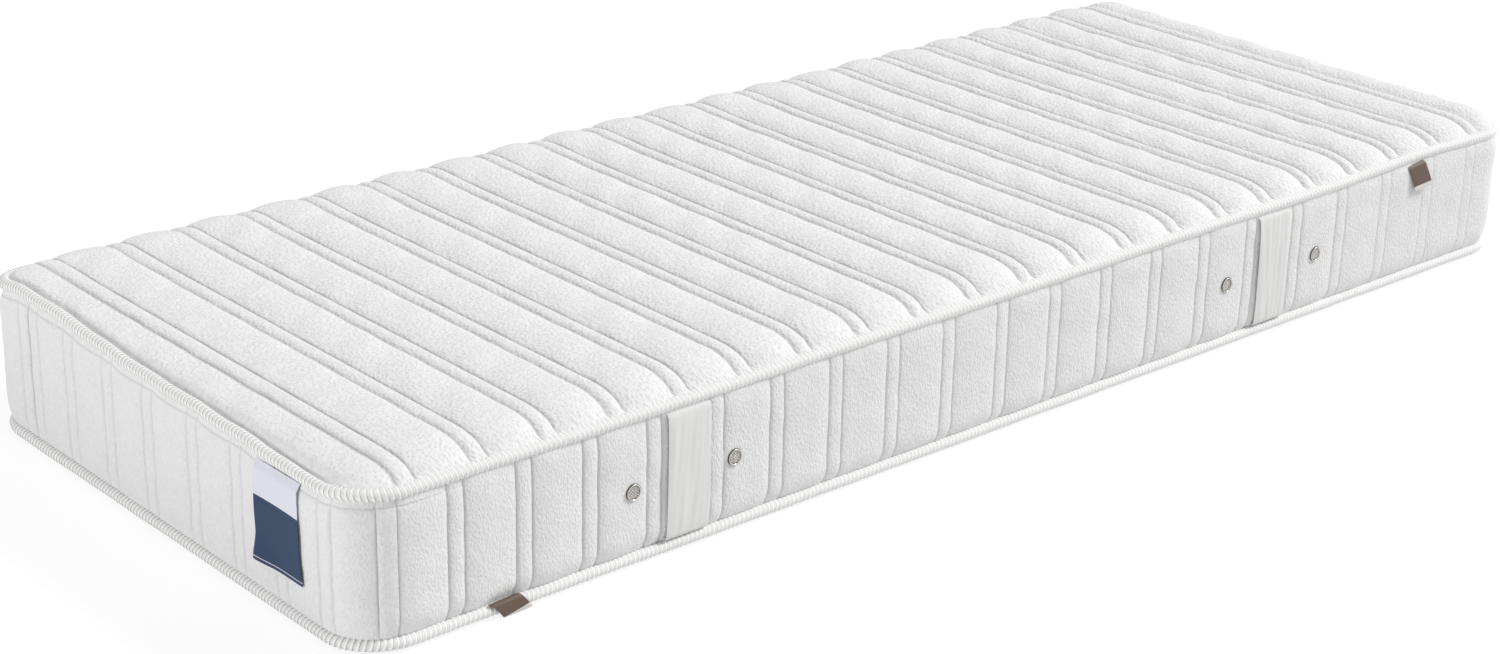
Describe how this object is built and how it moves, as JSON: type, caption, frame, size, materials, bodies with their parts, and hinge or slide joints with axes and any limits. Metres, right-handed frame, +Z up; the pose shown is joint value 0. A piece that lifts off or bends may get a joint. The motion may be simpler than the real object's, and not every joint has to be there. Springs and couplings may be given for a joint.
{
  "type": "memory foam mattress",
  "caption": "Single foam mattress with a channel-quilted cover, ribbed binding tape, band handles, side vents, a foot label and sewn-in tags.",
  "frame": {"origin": "middle of the underside, on the surface the mattress rests on", "axes": "+X along the length towards the head end, -Y the front long side with the tags, +Z up"},
  "size_m": [2.0013, 0.8182, 0.21],
  "materials": {
    "panel_cloth": "quilted white jersey",
    "border_cloth": "quilted pale grey jersey",
    "binding_tape": "ribbed woven tape",
    "handle_cloth": "woven band",
    "wadding": "fibre wadding",
    "backing": "spunbonded sheet",
    "memory_foam": "viscoelastic foam",
    "core_foam": "open-cell foam",
    "base_foam": "open-cell foam",
    "vent_metal": "plated steel",
    "vent_mesh": "woven wire",
    "label_cloth": "woven label",
    "tag_cloth": "woven tag"
  },
  "bodies": {
    "mattress": {"top_panel_ticking": "panel_cloth", "bottom_panel_ticking": "panel_cloth", "border_ticking": "border_cloth", "top_panel_wadding": "wadding", "bottom_panel_wadding": "wadding", "border_wadding": "wadding", "top_panel_backing": "backing", "bottom_panel_backing": "backing", "border_backing": "backing", "top_binding_tape": "binding_tape", "bottom_binding_tape": "binding_tape", "memory_foam_layer": "memory_foam", "core_foam": "core_foam", "base_foam_layer": "base_foam", "vent_rims": "vent_metal", "vent_meshes": "vent_mesh", "vent_washers": "vent_metal", "handle_front_foot_ends": "handle_cloth", "handle_front_head_ends": "handle_cloth", "handle_back_foot_ends": "handle_cloth", "handle_back_head_ends": "handle_cloth"},
    "handle_front_foot": {"handle_front_foot_grip": "handle_cloth"},
    "handle_front_head": {"handle_front_head_grip": "handle_cloth"},
    "handle_back_foot": {"handle_back_foot_grip": "handle_cloth"},
    "handle_back_head": {"handle_back_head_grip": "handle_cloth"},
    "foot_label": {"foot_label": "label_cloth"},
    "top_tape_tag": {"top_tape_tag": "tag_cloth"},
    "bottom_tape_tag": {"bottom_tape_tag": "tag_cloth"}
  },
  "joints": [
    {"name": "handle_front_foot_pull", "type": "slide", "parent": "mattress", "child": "handle_front_foot", "axis": [0, -1, 0], "range_m": [0, 0.025], "stiffness_N_per_m": 40, "deforming": ["handle_front_foot_ends"]},
    {"name": "handle_front_head_pull", "type": "slide", "parent": "mattress", "child": "handle_front_head", "axis": [0, -1, 0], "range_m": [0, 0.025], "stiffness_N_per_m": 40, "deforming": ["handle_front_head_ends"]},
    {"name": "handle_back_foot_pull", "type": "slide", "parent": "mattress", "child": "handle_back_foot", "axis": [0, 1, 0], "range_m": [0, 0.025], "stiffness_N_per_m": 40, "deforming": ["handle_back_foot_ends"]},
    {"name": "handle_back_head_pull", "type": "slide", "parent": "mattress", "child": "handle_back_head", "axis": [0, 1, 0], "range_m": [0, 0.025], "stiffness_N_per_m": 40, "deforming": ["handle_back_head_ends"]},
    {"name": "foot_label_swing", "type": "hinge", "parent": "mattress", "child": "foot_label", "pos_m": [-0.9955, -0.255, 0.17293], "axis": [0, 1, 0], "range_deg": [0, 95]},
    {"name": "top_tape_tag_swing", "type": "hinge", "parent": "mattress", "child": "top_tape_tag", "pos_m": [0.766, -0.3955, 0.17293], "axis": [-1, 0, 0], "range_deg": [0, 95]},
    {"name": "bottom_tape_tag_lift", "type": "hinge", "parent": "mattress", "child": "bottom_tape_tag", "pos_m": [-0.812, -0.3955, 0.01907], "axis": [-1, 0, 0], "range_deg": [0, 80]}
  ]
}
